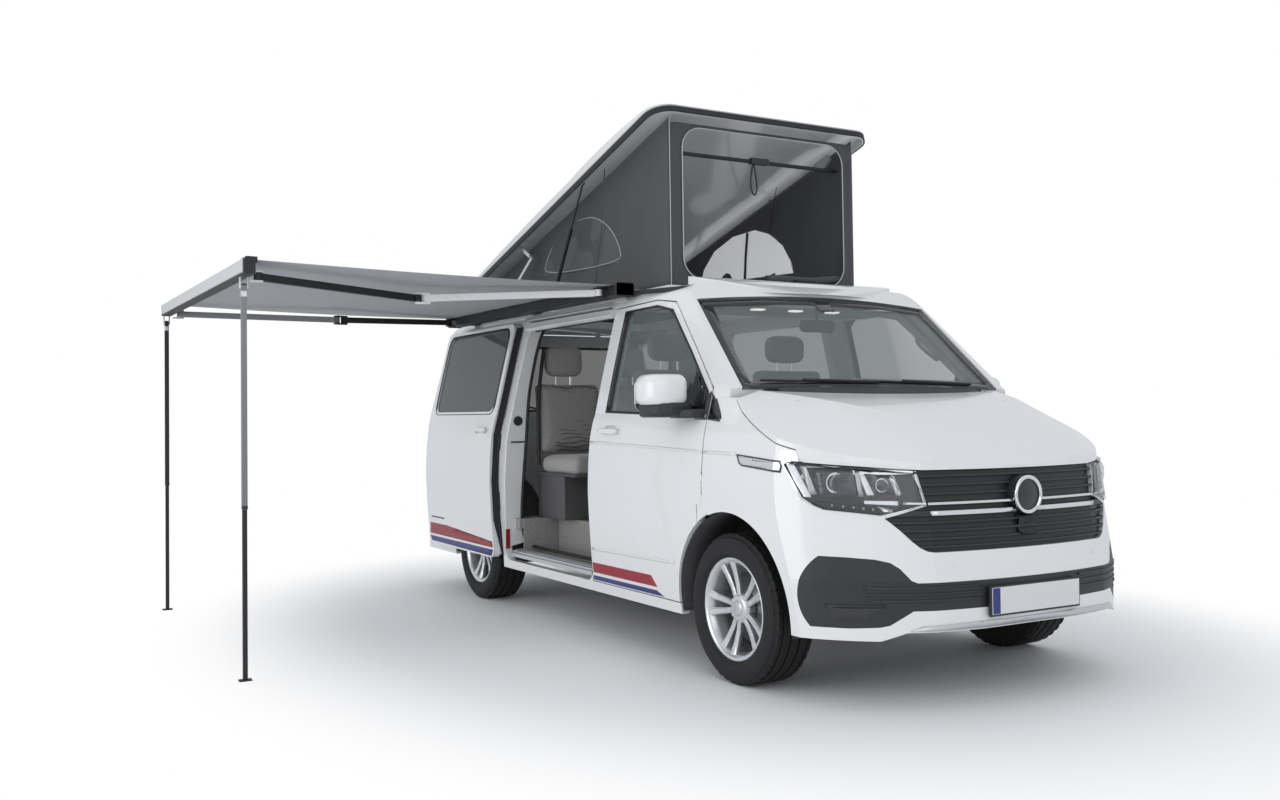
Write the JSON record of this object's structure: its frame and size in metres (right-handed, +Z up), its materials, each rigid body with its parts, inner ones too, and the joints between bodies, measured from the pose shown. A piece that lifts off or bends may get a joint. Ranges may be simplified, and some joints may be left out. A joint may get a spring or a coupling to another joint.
{
  "type": "camper van",
  "caption": "Camper van with its pop-up roof raised, side awning out on two legs and the sliding door open; doors, bonnet, tailgate, roof, awning, steering and wheels move.",
  "frame": {"origin": "on the ground under the middle of the box that holds the van and its awning", "axes": "+Z up, the van's front points to -Y, the awning and the sliding door are to -X"},
  "size_m": [3.9574, 4.904, 2.8712],
  "materials": {
    "anodised": "satin anodised aluminium",
    "awning_cloth": "grey awning acrylic",
    "body_paint": "gloss off-white paint",
    "cabin": "soft dark cabin trim",
    "chassis": "dark underbody coat",
    "clear_pane": "light green glass",
    "dark_anodised": "dark anodised aluminium",
    "dark_trim": "grained dark plastic",
    "floor": "grey floor covering",
    "gas_strut": "steel",
    "lamp": "clear lamp covers",
    "pane": "tinted glass",
    "rim": "silver lacquer",
    "seat_cloth": "grey striped upholstery",
    "tent_cloth": "charcoal tent cotton",
    "tyre": "black tread rubber"
  },
  "bodies": {
    "van": {"side_left": "body_paint", "side_right": "body_paint", "roof_panel": "body_paint", "floor_pan": "floor", "wheel_houses": "chassis", "entry_step": "floor", "front_wings": "body_paint", "front_bumper": "body_paint", "front_trim": "dark_trim", "lamps": "lamp", "rear_bumper": "body_paint", "windscreen": "clear_pane", "cowl_panel": "dark_trim", "side_glass": "pane", "sliding_door": "body_paint", "sliding_door_glass": "pane", "dashboard": "cabin", "front_seats": "seat_cloth", "rear_bench": "seat_cloth", "awning_case": "dark_anodised", "awning_fabric": "awning_cloth", "engine": "chassis", "underbody": "chassis", "front_axle": "chassis", "rear_axle": "chassis"},
    "bonnet": {"bonnet": "body_paint"},
    "tailgate": {"tailgate": "body_paint", "tailgate_glass": "pane"},
    "roof": {"roof_shell": "body_paint", "tent": "tent_cloth"},
    "strut_tubes": {"strut_tubes": "gas_strut"},
    "strut_rods": {"strut_rods": "gas_strut"},
    "roof_arms_low": {"roof_arms_low": "anodised"},
    "roof_arms_high": {"roof_arms_high": "anodised"},
    "steering_wheel": {"steering_wheel": "cabin"},
    "lead_rail": {"lead_rail": "anodised"},
    "door_left": {"door_left": "body_paint", "door_glass_left": "clear_pane", "mirror_left": "body_paint"},
    "knuckle_left": {"knuckle_left": "chassis"},
    "wheel_front_left": {"tyre_front_left": "tyre", "rim_front_left": "rim"},
    "wheel_rear_left": {"tyre_rear_left": "tyre", "rim_rear_left": "rim"},
    "door_right": {"door_right": "body_paint", "door_glass_right": "clear_pane", "mirror_right": "body_paint"},
    "knuckle_right": {"knuckle_right": "chassis"},
    "wheel_front_right": {"tyre_front_right": "tyre", "rim_front_right": "rim"},
    "wheel_rear_right": {"tyre_rear_right": "tyre", "rim_rear_right": "rim"},
    "upper_arm_front": {"upper_arm_front": "anodised"},
    "forearm_front": {"forearm_front": "dark_anodised"},
    "leg_tube_front": {"leg_tube_front": "dark_anodised"},
    "leg_rod_front": {"leg_rod_front": "dark_anodised"},
    "upper_arm_rear": {"upper_arm_rear": "anodised"},
    "forearm_rear": {"forearm_rear": "dark_anodised"},
    "leg_tube_rear": {"leg_tube_rear": "dark_anodised"},
    "leg_rod_rear": {"leg_rod_rear": "dark_anodised"}
  },
  "joints": [
    {"name": "door_left_open", "type": "hinge", "parent": "van", "child": "door_left", "pos_m": [1.77917, -1.345, 0.87], "axis": [0, 0, -1], "range_deg": [0, 65]},
    {"name": "steer_left", "type": "hinge", "parent": "van", "child": "knuckle_left", "pos_m": [1.51917, -1.543, 0.347], "axis": [0, 0, 1], "range_deg": [-35, 35]},
    {"name": "wheel_front_left_spin", "type": "hinge", "parent": "knuckle_left", "child": "wheel_front_left", "pos_m": [1.64317, -1.543, 0.338], "axis": [1, 0, 0], "continuous": true},
    {"name": "wheel_rear_left_spin", "type": "hinge", "parent": "van", "child": "wheel_rear_left", "pos_m": [1.64317, 1.457, 0.338], "axis": [1, 0, 0], "continuous": true},
    {"name": "door_right_open", "type": "hinge", "parent": "van", "child": "door_right", "pos_m": [-0.12083, -1.345, 0.87], "axis": [0, 0, 1], "range_deg": [0, 65]},
    {"name": "steer_right", "type": "hinge", "parent": "van", "child": "knuckle_right", "pos_m": [0.13917, -1.543, 0.347], "axis": [0, 0, 1], "range_deg": [-35, 35]},
    {"name": "wheel_front_right_spin", "type": "hinge", "parent": "knuckle_right", "child": "wheel_front_right", "pos_m": [0.01517, -1.543, 0.338], "axis": [1, 0, 0], "continuous": true},
    {"name": "wheel_rear_right_spin", "type": "hinge", "parent": "van", "child": "wheel_rear_right", "pos_m": [0.01517, 1.457, 0.338], "axis": [1, 0, 0], "continuous": true},
    {"name": "steering_wheel_turn", "type": "hinge", "parent": "van", "child": "steering_wheel", "pos_m": [1.23917, -0.93, 1.13], "axis": [0, -0.9063, -0.4226], "range_deg": [-491, 491]},
    {"name": "bonnet_open", "type": "hinge", "parent": "van", "child": "bonnet", "pos_m": [0.82917, -1.527, 1.292], "axis": [-1, 0, 0], "range_deg": [0, 55]},
    {"name": "tailgate_open", "type": "hinge", "parent": "van", "child": "tailgate", "pos_m": [0.82917, 2.33, 1.838], "axis": [1, 0, 0], "range_deg": [0, 85]},
    {"name": "roof_lower", "type": "hinge", "parent": "van", "child": "roof", "pos_m": [0.82917, 2.69, 1.9], "axis": [1, 0, 0], "range_deg": [0, 15.5], "deforming": ["tent"]},
    {"name": "strut_tubes_turn", "type": "hinge", "parent": "van", "child": "strut_tubes", "pos_m": [1.51917, 0.763, 1.93], "axis": [1, 0, 0], "range_deg": [0, 55.13]},
    {"name": "strut_rods_slide", "type": "slide", "parent": "strut_tubes", "child": "strut_rods", "axis": [0, 0.54, -0.8417], "range_m": [0, 0.26734]},
    {"name": "roof_arms_low_turn", "type": "hinge", "parent": "van", "child": "roof_arms_low", "pos_m": [1.51917, 1.589, 1.93], "axis": [1, 0, 0], "range_deg": [0, 31.49]},
    {"name": "roof_arms_high_turn", "type": "hinge", "parent": "roof", "child": "roof_arms_high", "pos_m": [1.53317, 1.23, 2.345], "axis": [-1, 0, 0], "range_deg": [0, 40.76]},
    {"name": "awning_fold", "type": "hinge", "parent": "van", "child": "upper_arm_front", "pos_m": [-0.08283, -0.275, 1.882], "axis": [0, 0, -1], "range_deg": [0, 67.2], "deforming": ["awning_fabric"]},
    {"name": "forearm_front_fold", "type": "hinge", "parent": "upper_arm_front", "child": "forearm_front", "pos_m": [-0.985, 0.07312, 1.848], "axis": [0, 0, -1], "range_deg": [-134.45, 0]},
    {"name": "lead_rail_turn", "type": "hinge", "parent": "forearm_front", "child": "lead_rail", "pos_m": [-1.88717, -0.275, 1.882], "axis": [0, 0, -1], "range_deg": [0, 67.25]},
    {"name": "upper_arm_rear_fold", "type": "hinge", "parent": "van", "child": "upper_arm_rear", "pos_m": [-0.08283, 1.995, 1.882], "axis": [0, 0, -1], "range_deg": [-67.25, 0]},
    {"name": "forearm_rear_fold", "type": "hinge", "parent": "upper_arm_rear", "child": "forearm_rear", "pos_m": [-0.985, 1.64688, 1.848], "axis": [0, 0, -1], "range_deg": [0, 134.45]},
    {"name": "leg_front_fold", "type": "hinge", "parent": "lead_rail", "child": "leg_tube_front", "pos_m": [-1.95117, -0.268, 1.836], "axis": [1, 0, 0], "range_deg": [0, 90.05]},
    {"name": "leg_front_slide", "type": "slide", "parent": "leg_tube_front", "child": "leg_rod_front", "axis": [0, 0, 1], "range_m": [0, 0.7705]},
    {"name": "leg_rear_fold", "type": "hinge", "parent": "lead_rail", "child": "leg_tube_rear", "pos_m": [-1.95117, 2.112, 1.836], "axis": [-1, 0, 0], "range_deg": [0, 90.05]},
    {"name": "leg_rear_slide", "type": "slide", "parent": "leg_tube_rear", "child": "leg_rod_rear", "axis": [0, 0, 1], "range_m": [0, 0.7705]}
  ],
  "couplings": [
    {"joint": "steer_right", "follows": "steer_left", "ratio": 1},
    {"joint": "steering_wheel_turn", "follows": "steer_left", "ratio": -14},
    {"joint": "strut_tubes_turn", "follows": "roof_lower", "ratio": 3.5534},
    {"joint": "strut_rods_slide", "follows": "roof_lower", "m_per_rad": 0.98637},
    {"joint": "roof_arms_low_turn", "follows": "roof_lower", "ratio": 2.0286},
    {"joint": "roof_arms_high_turn", "follows": "roof_lower", "ratio": 2.6265},
    {"joint": "forearm_front_fold", "follows": "awning_fold", "ratio": -2},
    {"joint": "lead_rail_turn", "follows": "awning_fold", "ratio": 1},
    {"joint": "upper_arm_rear_fold", "follows": "awning_fold", "ratio": -1},
    {"joint": "forearm_rear_fold", "follows": "awning_fold", "ratio": 2},
    {"joint": "leg_front_fold", "follows": "awning_fold", "ratio": 1.3393},
    {"joint": "leg_front_slide", "follows": "awning_fold", "m_per_rad": 0.65651},
    {"joint": "leg_rear_fold", "follows": "awning_fold", "ratio": 1.3393},
    {"joint": "leg_rear_slide", "follows": "awning_fold", "m_per_rad": 0.65651}
  ]
}
